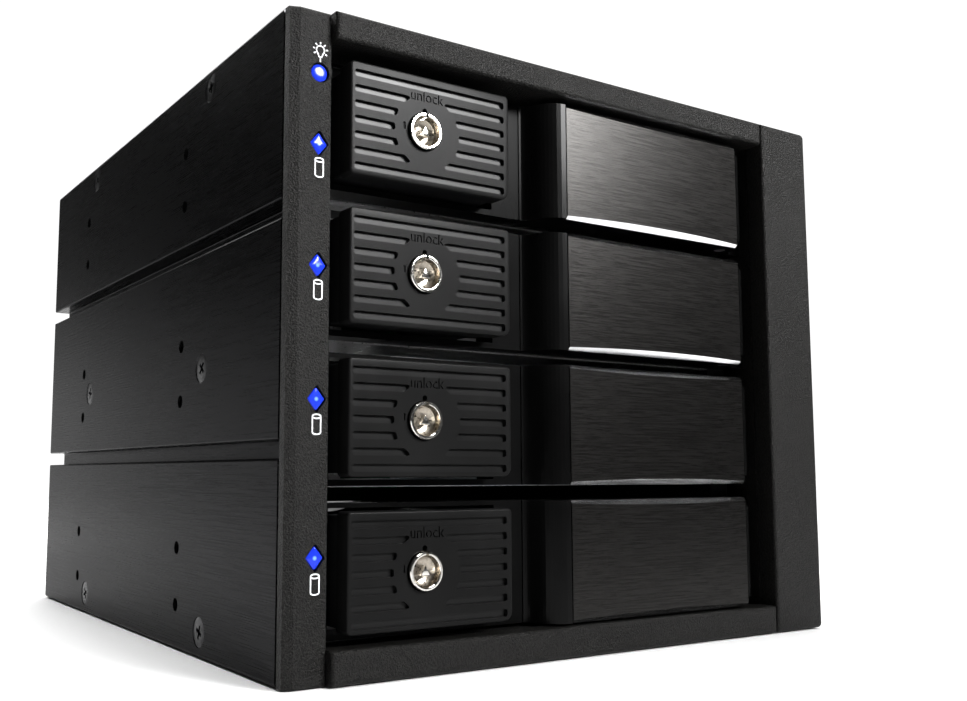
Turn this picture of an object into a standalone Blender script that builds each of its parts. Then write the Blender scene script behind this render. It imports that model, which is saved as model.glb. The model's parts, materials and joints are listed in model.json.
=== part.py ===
"""Four-bay cage for 3.5-inch hot-swap drives that fills three 5.25-inch computer bays.

The cage faces -Y and stands on Z = 0, with the origin at the middle of its footprint. Every size below is
in millimetres. X runs to the right as seen from the front, Z runs up, and a depth D runs back from the
front face of the frame. Meshes are built in millimetres and scaled to metres once, when they are placed.
"""
import math

import bmesh
import bpy
from mathutils import Matrix, Vector

MM = 0.001

# Overall size
WIDTH = 146.0
BODY_HEIGHT = 126.1
BEZEL_HEIGHT = 125.6
TOTAL_DEPTH = 199.5
HALF = WIDTH / 2
GAP = 0.3

# Depths of the main planes
FRAME_D = 0.0
LOCK_D = 0.17
FACE_D = 1.17
LIGHT_PILLAR_D = 2.17
BEZEL_BACK_D = 4.9
BODY_FRONT_D = 5.6
PANEL_D = 8.07
RING_BACK_D = 12.0
PANEL_BACK_D = 14.07
CARRIER_D = 14.4
CARRIER_BACK_D = 164.9
BOARD_D = 166.9
REAR_PANEL_D = 171.4
BODY_REAR_D = 172.9

# Front frame: light pillar at the left, proud rails and right pillar around the tray opening
OPENING_X = (-64.6, 56.2)
OPENING_Z = (6.29, 120.11)
EDGE_ROUND = 0.8
CORNER_ROUND = 1.2
PILLAR_CHAMFER = (1.9, 0.75)
PILLAR_TOP_ROUND = 0.6
RING_Z = (3.1, 123.0)
RING_HOLLOW_Z = (6.0, 120.4)

# Body sheets and the two guide grooves along each side
WALL = 1.5
SHEET = 1.3
GROOVE_DEPTH = 4.3
GROOVE_WIDTH = 3.55
GROOVE_CENTRES = (42.33, 87.13)
GROOVE_WALL = 1.2
LIP_THICKNESS = 0.7
LIP_REACH = 62.0
SIDE_HOLE_RADIUS = 1.5
SIDE_HOLE_D = (57.07, 136.87)
SIDE_HOLE_Z = (9.31, 21.65)
SIDE_HOLE_PITCH = 44.56
BAY_SPAN = 3
COUNTERSINK_RADIUS = 3.25
SCREW_RADIUS = 1.6
COUNTERSINKS = ((42.9, 5.1), (128.9, 5.1), (44.6, 60.4), (130.4, 60.4), (42.6, 122.0), (129.9, 122.0))

# Trays
TRAY_COUNT = 4
TRAY_PITCH = 28.735
FIRST_TRAY_Z = 19.55
TRAY_HALF_HEIGHT = 12.75
TRAY_X = (-64.2, 55.8)
DRIVE_CENTRE_X = -4.2
DRIVE_HALF_WIDTH = 51.1
RAIL_OUTER = 54.3
RUNNER_OUTER = 56.4
RUNNER_Z = (-3.5, -1.5)
CARRIER_FLOOR_Z = (-13.0, -12.2)
RAIL_TOP_Z = 6.0
DRIVE_SCREW_D = (33.4, 93.4, 134.9)
DRIVE_SCREW_Z = -5.85

# Unlock button
BUTTON_X = (-60.8, -22.9)
BUTTON_Z = (-11.04, 11.35)
BUTTON_BACK_D = 12.0
BUTTON_SKIN = 2.4
BUTTON_WALL = 1.6
CAP_BACK_D = 5.4
NECK_INSET = 0.7
BUTTON_CLEARANCE = 0.5
TAB_REACH = 1.4
TAB_D = 10.5
TAB_POCKET_D = 10.2
SLOT_HEIGHT = 1.5
SLOT_DEPTH = 0.8
SLOT_PITCH = 3.05
SLOT_ENDS = (-60.3, -24.2)
SLOT_BREAK_X = -43.3
SLOT_BREAK_RADIUS = 7.6
SLOT_CORNER = 0.6

# Lock
LOCK_X = -44.06
LOCK_Z = -0.16
LOCK_RADIUS = 3.7
LOCK_CUP_RADIUS = 3.0
LOCK_CUP_D = 3.0
LOCK_BARREL_D = 12.2
LOCK_CAM_D = 13.5
LOCK_POST_RADIUS = 1.45
LOCK_CLEARANCE = 0.25
BOSS_RADIUS = 5.4
BOSS_D = 11.8

# Lever and its hinge
PIVOT_X = 46.5
PIVOT_D = 6.07
LEVER_END_RADIUS = 4.9
LEVER_BACK_D = 10.97
LEVER_TIP_X = -14.8
PLATE_X = (-6.9, 47.3)
PLATE_THICKNESS = 1.0
PLATE_CHAMFER = 0.8
SEAT_D = 2.45
POCKET_D = 11.3
LUG_RADIUS = 3.5
LUG_INNER_Z = 10.95
NOTCH_X = 41.9
PIN_RADIUS = 1.45
PIN_BORE_RADIUS = 1.6
RAMP_STEPS = 14
RAMP_FOOT = 0.30
RAMP_TOP = 0.20

# Status lights on the left pillar
LIGHT_X = -66.9
POWER_LIGHT_Z = 113.43
DRIVE_LIGHT_Z = (22.73, 51.53, 76.43, 99.63)
LIGHT_FRONT_D = 2.45
LIGHT_BACK_D = 12.6
POWER_LIGHT_RADIUS = 1.65
DIAMOND = (1.7, 2.3)
LIGHT_BOARD_X = -65.0
LIGHT_BOARD_Z = (14.0, 118.0)

# Rear: board, connectors and fan
FAN_X = 22.0
FAN_Z = 62.0
FAN_HALF = 40.0
FAN_D = (173.2, 198.2)
FAN_BORE = 38.0
FAN_HOLE_PITCH = 35.75
HUB_RADIUS = 16.5
BLADE_COUNT = 7
PORT_X = -56.0
POWER_X = -33.0
PORT_Z = (24.0, 46.0, 68.0, 90.0)
POWER_Z = (35.0, 79.0)
PORT_SIZE = (15.0, 7.0)
POWER_SIZE = (20.0, 9.0)
PORT_BACK_D = 175.5

MATERIALS = {
    'aluminium_black': ((0.030, 0.030, 0.032), 0.42, 1.0),
    'bezel_plastic': ((0.022, 0.020, 0.019), 0.62, 0.0),
    'button_plastic': ((0.018, 0.018, 0.019), 0.34, 0.0),
    'lever_plastic': ((0.016, 0.016, 0.017), 0.22, 0.0),
    'plate_aluminium': ((0.036, 0.035, 0.034), 0.36, 1.0),
    'nickel': ((0.72, 0.70, 0.66), 0.20, 1.0),
    'steel': ((0.46, 0.46, 0.47), 0.34, 1.0),
    'inner_plastic': ((0.025, 0.025, 0.026), 0.55, 0.0),
    'board': ((0.020, 0.090, 0.045), 0.50, 0.0),
    'connector_plastic': ((0.030, 0.030, 0.032), 0.45, 0.0),
    'fan_plastic': ((0.020, 0.020, 0.021), 0.50, 0.0),
    'light_lens': ((0.050, 0.160, 0.900), 0.15, 0.0),
}


# ---------------------------------------------------------------------------------------------------------
# Mesh tools
# ---------------------------------------------------------------------------------------------------------

def y_at(depth):
    """World Y, in millimetres, of a depth behind the frame's front face."""
    return depth - TOTAL_DEPTH / 2


def along(axis, u, v, w):
    """The point with w along the axis and (u, v) across it, in X, Y, Z order."""
    return Vector({'X': (w, u, v), 'Y': (u, w, v), 'Z': (u, v, w)}[axis])


def to_mesh(bm):
    """The bmesh as a mesh with its faces turned outward."""
    bmesh.ops.recalc_face_normals(bm, faces=bm.faces)
    mesh = bpy.data.meshes.new('solid')
    bm.to_mesh(mesh)
    bm.free()
    return mesh


def prism(outline, axis, low, high):
    """A flat outline swept from low to high along an axis."""
    bm = bmesh.new()
    base = bm.faces.new([bm.verts.new(along(axis, u, v, low)) for u, v in outline])
    sweep = bmesh.ops.extrude_face_region(bm, geom=[base])
    moved = [item for item in sweep['geom'] if isinstance(item, bmesh.types.BMVert)]
    bmesh.ops.translate(bm, verts=moved, vec=along(axis, 0, 0, high - low))
    return to_mesh(bm)


def box(x, y, z):
    """A block between three pairs of limits."""
    return prism([(x[0], y[0]), (x[1], y[0]), (x[1], y[1]), (x[0], y[1])], 'Z', z[0], z[1])


def block(x, depth, z):
    """A block whose middle pair of limits are depths."""
    return box(x, (y_at(depth[0]), y_at(depth[1])), z)


def ring_points(centre, radius, segments, start=0.0, sweep=2 * math.pi):
    """Points on a circle, or on an arc of it."""
    count = segments if sweep == 2 * math.pi else segments + 1
    angles = [start + sweep * i / segments for i in range(count)]
    return [(centre[0] + radius * math.cos(a), centre[1] + radius * math.sin(a)) for a in angles]


def rod(centre, radius, axis, low, high, segments=16):
    """A round bar along an axis."""
    return prism(ring_points(centre, radius, segments), axis, low, high)


def cone_frustum(centre, radii, axis, low, high, segments=20):
    """A round bar whose radius runs from radii[0] at low to radii[1] at high."""
    bm = bmesh.new()
    rims = []
    for radius, level in zip(radii, (low, high)):
        rim = ring_points(centre, radius, segments)
        rims.append([bm.verts.new(along(axis, u, v, level)) for u, v in rim])
    for rim in rims:
        bm.faces.new(rim)
    for i in range(segments):
        j = (i + 1) % segments
        bm.faces.new((rims[0][i], rims[0][j], rims[1][j], rims[1][i]))
    return to_mesh(bm)


def turned(profile, centre, segments=24):
    """A solid turned about a line along Y through centre, from (radius, depth) points that start on it."""
    bm = bmesh.new()
    rings = []
    for radius, depth in profile:
        if radius == 0:
            rings.append([bm.verts.new((centre[0], y_at(depth), centre[1]))])
        else:
            points = ring_points(centre, radius, segments)
            rings.append([bm.verts.new((u, y_at(depth), v)) for u, v in points])
    for low, high in zip(rings, rings[1:]):
        for i in range(segments):
            j = (i + 1) % segments
            if len(low) == 1:
                bm.faces.new((low[0], high[i], high[j]))
            elif len(high) == 1:
                bm.faces.new((low[i], high[0], low[j]))
            else:
                bm.faces.new((low[i], high[i], high[j], low[j]))
    return to_mesh(bm)


def rounded(corners, radius, steps=4):
    """A polygon with each corner turned into an arc; radius is one number or one for each corner."""
    radii = radius if isinstance(radius, (list, tuple)) else [radius] * len(corners)
    points = []
    for i, corner in enumerate(corners):
        here = Vector(corner)
        if radii[i] == 0:
            points.append(tuple(here))
            continue
        before = (Vector(corners[i - 1]) - here).normalized()
        after = (Vector(corners[(i + 1) % len(corners)]) - here).normalized()
        half = before.angle(after) / 2
        centre = here + (before + after).normalized() * radii[i] / math.sin(half)
        first = here + before * radii[i] / math.tan(half) - centre
        last = here + after * radii[i] / math.tan(half) - centre
        turn = first.angle_signed(last)
        for step in range(steps + 1):
            spoke = first.copy()
            spoke.rotate(Matrix.Rotation(-turn * step / steps, 2))
            points.append(tuple(centre + spoke))
    return points


def rectangle(u, v):
    """The corners of a rectangle between two pairs of limits."""
    return [(u[0], v[0]), (u[1], v[0]), (u[1], v[1]), (u[0], v[1])]


def gather(meshes):
    """Several closed meshes as one mesh, for use as one cutting tool."""
    bm = bmesh.new()
    for mesh in meshes:
        bm.from_mesh(mesh)
        bpy.data.meshes.remove(mesh)
    return to_mesh(bm)


def combined(mesh, tool, operation):
    """The mesh after a Boolean with a tool mesh."""
    pair = [bpy.data.objects.new(name, data) for name, data in (('work', mesh), ('tool', tool))]
    for item in pair:
        bpy.context.scene.collection.objects.link(item)
    modifier = pair[0].modifiers.new('Boolean', 'BOOLEAN')
    modifier.operation = operation
    modifier.solver = 'EXACT'
    modifier.object = pair[1]
    graph = bpy.context.evaluated_depsgraph_get()
    result = bpy.data.meshes.new_from_object(pair[0].evaluated_get(graph))
    for item in pair:
        data = item.data
        bpy.data.objects.remove(item)
        bpy.data.meshes.remove(data)
    return result


def cut(mesh, *tools):
    """The mesh with the tools cut away; the tools stand clear of one another."""
    return combined(mesh, gather(tools), 'DIFFERENCE')


def joined(mesh, *tools):
    """The mesh with each tool fused on, one after another."""
    for tool in tools:
        mesh = combined(mesh, tool, 'UNION')
    return mesh


def beveled(mesh, chosen, width, segments=3):
    """The mesh with the edges whose two ends both pass the test rounded over."""
    bm = bmesh.new()
    bm.from_mesh(mesh)
    bpy.data.meshes.remove(mesh)
    edges = [edge for edge in bm.edges if chosen(edge.verts[0].co) and chosen(edge.verts[1].co)]
    bmesh.ops.bevel(bm, geom=edges, offset=width, segments=segments, profile=0.5, affect='EDGES')
    return to_mesh(bm)


def at_depth(depth):
    """A test for points on the plane at one depth."""
    return lambda point: abs(point.y - y_at(depth)) < 1e-3


def material(name):
    """The named material, made the first time it is asked for."""
    found = bpy.data.materials.get(name)
    if found:
        return found
    color, roughness, metallic = MATERIALS[name]
    made = bpy.data.materials.new(name)
    made.use_nodes = True
    shader = made.node_tree.nodes['Principled BSDF']
    shader.inputs['Base Color'].default_value = (*color, 1.0)
    shader.inputs['Roughness'].default_value = roughness
    shader.inputs['Metallic'].default_value = metallic
    return made


def axis_empty(name, x, depth, z, parent=None):
    """An empty on a joint's axis, at a place given in the parent's millimetres."""
    empty = bpy.data.objects.new(name, None)
    bpy.context.scene.collection.objects.link(empty)
    empty.location = Vector((x, depth, z)) * MM
    empty.parent = parent
    return empty


def place(name, mesh, material_name, parent=None, offset=(0.0, 0.0, 0.0)):
    """One part from a mesh in millimetres; offset is where the parent's axis stands in that mesh's frame."""
    data = mesh.copy()
    data.name = name
    data.transform(Matrix.Scale(MM, 4) @ Matrix.Translation(-Vector(offset)))
    data.materials.clear()
    data.materials.append(material(material_name))
    data.shade_smooth()
    data.set_sharp_from_angle(angle=math.radians(35))
    part = bpy.data.objects.new(name, data)
    bpy.context.scene.collection.objects.link(part)
    part.parent = parent
    return part


# ---------------------------------------------------------------------------------------------------------
# Body
# ---------------------------------------------------------------------------------------------------------

def wall_inside(clearance):
    """The inner face of the left wall from bottom to top, moved inward by a clearance."""
    near = -HALF + WALL + clearance
    far = -HALF + GROOVE_DEPTH + GROOVE_WALL + clearance
    reach = GROOVE_WIDTH / 2 + GROOVE_WALL + clearance
    points = []
    for centre in GROOVE_CENTRES:
        low, high = centre - reach, centre + reach
        points += [(near, low), (far, low), (far, high), (near, high)]
    return points


def inside_outline(z, clearance):
    """Cross-section of the space between the side walls, between two heights, in X and Z."""
    near = -HALF + WALL + clearance
    left = [(near, z[0])] + wall_inside(clearance) + [(near, z[1])]
    return left + [(-x, height) for x, height in reversed(left)]


def lip(z):
    """The outline of a ledge on the left wall that carries the top or bottom sheet, walked upward."""
    near = -HALF + WALL
    return [(near, z), (-LIP_REACH, z), (-LIP_REACH, z + LIP_THICKNESS), (near, z + LIP_THICKNESS)]


def side_panel_outline():
    """Cross-section of the left side extrusion, in X and Z."""
    outside = [(-HALF, BODY_HEIGHT)]
    for centre in reversed(GROOVE_CENTRES):
        top = centre + GROOVE_WIDTH / 2
        floor = -HALF + GROOVE_DEPTH
        outside += [(-HALF, top), (floor, top), (floor, top - GROOVE_WIDTH), (-HALF, top - GROOVE_WIDTH)]
    outside.append((-HALF, 0.0))
    corner_radius = [0.6] + [0.35, 0.25, 0.25, 0.35] * len(GROOVE_CENTRES) + [0.6]
    inside = [(-HALF + WALL, 0.0)] + lip(SHEET + GAP) + wall_inside(0.0)
    inside += lip(BODY_HEIGHT - SHEET - GAP - LIP_THICKNESS) + [(-HALF + WALL, BODY_HEIGHT)]
    return rounded(outside + inside, corner_radius + [0] * len(inside), 2)


def side_panel(side):
    """One side extrusion with its drive-bay screw holes and countersinks; side is -1 left or 1 right."""
    outline = [(x * -side, z) for x, z in side_panel_outline()]
    panel = prism(outline, 'Y', y_at(BODY_FRONT_D), y_at(BODY_REAR_D))
    outer = side * HALF
    inner = side * (HALF - WALL)
    tools = []
    for bay in range(BAY_SPAN):
        for depth in SIDE_HOLE_D:
            for height in SIDE_HOLE_Z:
                spot = (y_at(depth), height + bay * SIDE_HOLE_PITCH)
                low, high = sorted((outer + side, inner - side))
                tools.append(rod(spot, SIDE_HOLE_RADIUS, 'X', low, high, 12))
    for depth, height in COUNTERSINKS:
        spot = (y_at(depth), height)
        flare = COUNTERSINK_RADIUS + 0.2
        tools.append(cone_frustum(spot, (flare, SCREW_RADIUS), 'X', outer + side * 0.2, inner - side * 0.2))
    return cut(panel, *tools)


def flat_sheet(z):
    """The top or bottom sheet, between the side extrusions."""
    edge = HALF - WALL - GAP
    return block((-edge, edge), (BODY_FRONT_D, BODY_REAR_D), z)


def rear_panel():
    """The rear plate, shaped around the grooves, with the fan bore and the connector windows."""
    low = SHEET + 2 * GAP + LIP_THICKNESS
    outline = inside_outline((low, BODY_HEIGHT - low), GAP)
    plate = prism(outline, 'Y', y_at(REAR_PANEL_D), y_at(BODY_REAR_D))
    span = (y_at(REAR_PANEL_D) - 1, y_at(BODY_REAR_D) + 1)
    tools = [rod((FAN_X, FAN_Z), FAN_BORE, 'Y', *span, segments=40)]
    for x, z in fan_corners():
        tools.append(rod((x, z), 2.0, 'Y', *span, segments=10))
    for centre_x, heights, size in ((PORT_X, PORT_Z, PORT_SIZE), (POWER_X, POWER_Z, POWER_SIZE)):
        for z in heights:
            window = rectangle((centre_x - size[0] / 2 - GAP, centre_x + size[0] / 2 + GAP),
                               (z - size[1] / 2 - GAP, z + size[1] / 2 + GAP))
            tools.append(prism(window, 'Y', *span))
    return cut(plate, *tools)


# ---------------------------------------------------------------------------------------------------------
# Front frame and lights
# ---------------------------------------------------------------------------------------------------------

def light_outline(kind, margin):
    """Outline of a light about its own centre, grown by a margin."""
    if kind == 'round':
        return ring_points((0.0, 0.0), POWER_LIGHT_RADIUS + margin, 20)
    half_width, half_height = DIAMOND[0] + margin, DIAMOND[1] + margin * DIAMOND[1] / DIAMOND[0]
    return rounded([(-half_width, 0.0), (0.0, -half_height), (half_width, 0.0), (0.0, half_height)], 0.3, 2)


def light_places():
    """Name, kind and height of each status light."""
    places = [('power_light', 'round', POWER_LIGHT_Z)]
    places += [(f'drive_light_{i + 1}', 'diamond', z) for i, z in enumerate(DRIVE_LIGHT_Z)]
    return places


def light_solid(kind, z, margin, low, high):
    """A light pipe, or the hole for one."""
    outline = [(LIGHT_X + u, z + v) for u, v in light_outline(kind, margin)]
    return prism(outline, 'Y', y_at(low), y_at(high))


def front_bezel():
    """The light pillar and the ring behind the frame, in one moulding."""
    front = y_at(LIGHT_PILLAR_D)
    outline = [(-HALF, front + PILLAR_CHAMFER[1]), (-HALF + PILLAR_CHAMFER[0], front), (OPENING_X[0], front),
               (OPENING_X[0], y_at(BEZEL_BACK_D)), (-HALF, y_at(BEZEL_BACK_D))]
    pillar = prism(outline, 'Z', 0.0, BEZEL_HEIGHT)
    pillar = beveled(pillar, lambda p: p.z > 1.0 and p.y < front + 1.0, PILLAR_TOP_ROUND, 3)
    neck = block((LIGHT_X - 0.1, OPENING_X[0] - 0.4), (BEZEL_BACK_D - 1.0, BODY_FRONT_D + 1.0),
                 (RING_Z[0] + 0.4, RING_Z[1] - 0.4))
    ring = prism(inside_outline(RING_Z, GAP), 'Y', y_at(BEZEL_BACK_D + GAP), y_at(RING_BACK_D))
    hollow = block(OPENING_X, (BEZEL_BACK_D - 1.0, RING_BACK_D + 1.0), RING_HOLLOW_Z)
    bezel = joined(pillar, neck, cut(ring, hollow))
    span = (LIGHT_PILLAR_D - 1.0, RING_BACK_D + 1.0)
    return cut(bezel, *[light_solid(kind, z, GAP, *span) for _, kind, z in light_places()])


def rail(z):
    """A frame rail above or below the tray opening."""
    solid = block((OPENING_X[0] + 0.2, OPENING_X[1] - 0.2), (FRAME_D, BEZEL_BACK_D), z)
    return beveled(solid, at_depth(FRAME_D), EDGE_ROUND, 4)


def right_pillar():
    """The broad pillar right of the tray opening."""
    corners = rectangle((OPENING_X[1] + 0.1, HALF), (0.0, BEZEL_HEIGHT))
    outline = rounded(corners, [0, CORNER_ROUND, CORNER_ROUND, 0], 4)
    solid = prism(outline, 'Y', y_at(FRAME_D), y_at(BEZEL_BACK_D))
    return beveled(solid, at_depth(FRAME_D), EDGE_ROUND, 4)


def light_board():
    """The narrow circuit board behind the status lights."""
    low, high = LIGHT_BOARD_Z
    near = -HALF + WALL + GAP
    outline = [(near, low)] + wall_inside(GAP) + [(near, high), (LIGHT_BOARD_X, high), (LIGHT_BOARD_X, low)]
    return prism(outline, 'Y', y_at(LIGHT_BACK_D + GAP), y_at(CARRIER_D - GAP))


# ---------------------------------------------------------------------------------------------------------
# Trays, in a frame whose Z = 0 is the tray's middle height
# ---------------------------------------------------------------------------------------------------------

def carrier():
    """The U-shaped drive carrier with its runners, floor windows and drive screw holes."""
    half = [(DRIVE_HALF_WIDTH, CARRIER_FLOOR_Z[1]), (DRIVE_HALF_WIDTH, RAIL_TOP_Z), (RAIL_OUTER, RAIL_TOP_Z),
            (RAIL_OUTER, RUNNER_Z[1]), (RUNNER_OUTER, RUNNER_Z[1]), (RUNNER_OUTER, RUNNER_Z[0]),
            (RAIL_OUTER, RUNNER_Z[0]), (RAIL_OUTER, CARRIER_FLOOR_Z[0])]
    outline = [(DRIVE_CENTRE_X + x, z) for x, z in half]
    outline += [(DRIVE_CENTRE_X - x, z) for x, z in reversed(half)]
    shell = prism(outline, 'Y', y_at(CARRIER_D), y_at(CARRIER_BACK_D))
    front_lip = block((-18.0, DRIVE_CENTRE_X + RAIL_OUTER - 0.5), (CARRIER_D, CARRIER_D + 1.0),
                      (CARRIER_FLOOR_Z[0] + 0.3, RAIL_TOP_Z - 0.5))
    shell = joined(shell, front_lip)
    tools = []
    for low, high in ((30.0, 86.0), (94.0, 150.0)):
        corners = rectangle((DRIVE_CENTRE_X - 38, DRIVE_CENTRE_X + 38), (y_at(low), y_at(high)))
        window = rounded(corners, 5.0, 3)
        tools.append(prism(window, 'Z', CARRIER_FLOOR_Z[0] - 1, CARRIER_FLOOR_Z[1] + 1))
    reach = RAIL_OUTER + 2
    for depth in DRIVE_SCREW_D:
        spot = (y_at(depth), DRIVE_SCREW_Z)
        tools.append(rod(spot, 1.9, 'X', DRIVE_CENTRE_X - reach, DRIVE_CENTRE_X + reach, 10))
    return cut(shell, *tools)


def lug_outline():
    """A hinge lug seen from above: round about the pivot, with a web back to the tray front."""
    back = y_at(POCKET_D + 0.5)
    centre = (PIVOT_X, y_at(PIVOT_D))
    arc = ring_points(centre, LUG_RADIUS, 10, math.pi, math.pi)
    return arc + [(PIVOT_X + LUG_RADIUS, back), (PIVOT_X - LUG_RADIUS, back)]


def tray_front():
    """The moulded tray front with its button window, lever recess and hinge lugs."""
    pocket = (LEVER_TIP_X - GAP, PIVOT_X + LEVER_END_RADIUS + 0.5)
    outline = [(TRAY_X[0], y_at(PANEL_D)), (pocket[0], y_at(PANEL_D)), (pocket[0], y_at(POCKET_D)),
               (pocket[1], y_at(POCKET_D)), (pocket[1], y_at(PANEL_D)), (TRAY_X[1], y_at(PANEL_D)),
               (TRAY_X[1], y_at(PANEL_BACK_D)), (TRAY_X[0], y_at(PANEL_BACK_D))]
    front = prism(outline, 'Z', -TRAY_HALF_HEIGHT, TRAY_HALF_HEIGHT)
    lugs = [prism(lug_outline(), 'Z', LUG_INNER_Z, TRAY_HALF_HEIGHT),
            prism(lug_outline(), 'Z', -TRAY_HALF_HEIGHT, -LUG_INNER_Z)]
    front = joined(front, *lugs)
    reach_z = TRAY_HALF_HEIGHT + 1
    bore = rod((PIVOT_X, y_at(PIVOT_D)), PIN_BORE_RADIUS, 'Z', -reach_z, reach_z, 12)
    window_x = (BUTTON_X[0] - BUTTON_CLEARANCE, BUTTON_X[1] + BUTTON_CLEARANCE)
    window_z = (BUTTON_Z[0] - BUTTON_CLEARANCE, BUTTON_Z[1] + BUTTON_CLEARANCE)
    window = block(window_x, (PANEL_D - 1, PANEL_BACK_D + 1), window_z)
    reach = TAB_REACH + BUTTON_CLEARANCE
    tab_pocket = block((BUTTON_X[0] - reach, BUTTON_X[1] + reach), (TAB_POCKET_D, PANEL_BACK_D + 1),
                       (-8.5, 8.5))
    return cut(cut(front, bore, window), tab_pocket)


def slot_outlines(row):
    """The slots in one row about the lock; the rows beside it stop at a circle that is left plain."""
    low, high = row * SLOT_PITCH - SLOT_HEIGHT / 2, row * SLOT_PITCH + SLOT_HEIGHT / 2
    if abs(row) == 3:
        return [rectangle(SLOT_ENDS, (low, high))]
    reach_low, reach_high = (math.sqrt(SLOT_BREAK_RADIUS ** 2 - edge ** 2) for edge in (low, high))
    left = [(SLOT_ENDS[0], low), (SLOT_BREAK_X - reach_low, low), (SLOT_BREAK_X - reach_high, high),
            (SLOT_ENDS[0], high)]
    right = [(SLOT_BREAK_X + reach_low, low), (SLOT_ENDS[1], low), (SLOT_ENDS[1], high),
             (SLOT_BREAK_X + reach_high, high)]
    return [left, right]


def slot_solids():
    """The finger slots of a button, seven rows about the lock."""
    solids = []
    for row in range(-3, 4):
        for corners in slot_outlines(row):
            outline = [(x, LOCK_Z + z) for x, z in rounded(corners, SLOT_CORNER, 2)]
            solids.append(prism(outline, 'Y', y_at(FACE_D - 1), y_at(FACE_D + SLOT_DEPTH)))
    return solids


def unlock_button():
    """The push button: an open-backed cap with a boss for the lock and two side tabs that retain it."""
    outline = rounded(rectangle(BUTTON_X, BUTTON_Z), [0.8, 2.0, 0.8, 0.8], 4)
    cap = prism(outline, 'Y', y_at(FACE_D), y_at(CAP_BACK_D))
    cap = beveled(cap, at_depth(FACE_D), 0.45, 2)
    neck = block((BUTTON_X[0] + NECK_INSET, BUTTON_X[1] - NECK_INSET), (CAP_BACK_D - 1, BUTTON_BACK_D),
                 (BUTTON_Z[0] + NECK_INSET, BUTTON_Z[1] - NECK_INSET))
    inside = block((BUTTON_X[0] + BUTTON_WALL, BUTTON_X[1] - BUTTON_WALL),
                   (FACE_D + BUTTON_SKIN, BUTTON_BACK_D + 1),
                   (BUTTON_Z[0] + BUTTON_WALL, BUTTON_Z[1] - BUTTON_WALL))
    cap = cut(joined(cap, neck), inside)
    boss = rod((LOCK_X, LOCK_Z), BOSS_RADIUS, 'Y', y_at(FACE_D + 1.2), y_at(BOSS_D))
    tabs = [block((BUTTON_X[0] - TAB_REACH, BUTTON_X[0] + 1.0), (TAB_D, BUTTON_BACK_D), (-8.0, 8.0)),
            block((BUTTON_X[1] - 1.0, BUTTON_X[1] + TAB_REACH), (TAB_D, BUTTON_BACK_D), (-8.0, 8.0))]
    cap = joined(cap, boss, *tabs)
    bore = rod((LOCK_X, LOCK_Z), LOCK_RADIUS + LOCK_CLEARANCE, 'Y', y_at(FACE_D - 1), y_at(BOSS_D + 1), 24)
    return cut(cap, bore, *slot_solids())


def lock_cylinder():
    """The turned lock barrel with its cup, three-sided post and rear cam."""
    profile = [(0.0, LOCK_CUP_D), (LOCK_CUP_RADIUS, LOCK_CUP_D), (LOCK_CUP_RADIUS, LOCK_D + 0.15),
               (LOCK_CUP_RADIUS + 0.2, LOCK_D), (LOCK_RADIUS - 0.2, LOCK_D), (LOCK_RADIUS, LOCK_D + 0.2),
               (LOCK_RADIUS, LOCK_BARREL_D), (2.0, LOCK_BARREL_D), (2.0, LOCK_CAM_D), (0.0, LOCK_CAM_D)]
    barrel = turned(profile, (LOCK_X, LOCK_Z))
    post = prism(ring_points((LOCK_X, LOCK_Z), LOCK_POST_RADIUS, 3, math.pi / 2), 'Y',
                 y_at(LOCK_D + 0.7), y_at(LOCK_CUP_D + 1.0))
    cam = block((LOCK_X - 1.8, LOCK_X + 1.8), (LOCK_BARREL_D + 0.1, LOCK_CAM_D - 0.1), (LOCK_Z, LOCK_Z + 7.5))
    return joined(barrel, post, cam)


def ramp_points():
    """The S-shaped face of the lever, with a short hollow foot and a long round top up to the plate."""
    length = PLATE_X[0] - GAP - LEVER_TIP_X
    points = []
    for step in range(RAMP_STEPS + 1):
        t = step / RAMP_STEPS
        foot, top = 3 * (1 - t) ** 2 * t, 3 * (1 - t) * t ** 2
        rise = top + t ** 3
        x = LEVER_TIP_X + length * (foot * RAMP_FOOT + top * RAMP_TOP + t ** 3)
        points.append((x, y_at(PANEL_D + (FACE_D - PANEL_D) * rise)))
    return points


def lever():
    """The lever arm with its plate seat, round hinge end, lug notches and ribbed back."""
    seat_right = PLATE_X[1] + GAP
    seat = y_at(SEAT_D)
    start = -math.acos((seat_right - PIVOT_X) / LEVER_END_RADIUS)
    hinge_end = ring_points((PIVOT_X, y_at(PIVOT_D)), LEVER_END_RADIUS, 14, start, math.pi / 2 - start)
    outline = ramp_points() + [(PLATE_X[0] - GAP, seat), (seat_right, seat)] + hinge_end
    outline.append((LEVER_TIP_X, y_at(LEVER_BACK_D)))
    arm = prism(outline, 'Z', -TRAY_HALF_HEIGHT, TRAY_HALF_HEIGHT)
    notch_depth = (FACE_D - 1, LEVER_BACK_D + 1)
    notch_z = LUG_INNER_Z - GAP
    tools = [block((NOTCH_X, PIVOT_X + 10), notch_depth, (notch_z, TRAY_HALF_HEIGHT + 1)),
             block((NOTCH_X, PIVOT_X + 10), notch_depth, (-TRAY_HALF_HEIGHT - 1, -notch_z))]
    for low, high in ((-3.5, 9.5), (11.0, 24.0), (25.5, 38.5)):
        tools.append(block((low, high), (4.6, LEVER_BACK_D + 1), (-10.4, 10.4)))
    bore = rod((PIVOT_X, y_at(PIVOT_D)), PIN_BORE_RADIUS, 'Z', -TRAY_HALF_HEIGHT, TRAY_HALF_HEIGHT, 12)
    return cut(cut(arm, *tools), bore)


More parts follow.
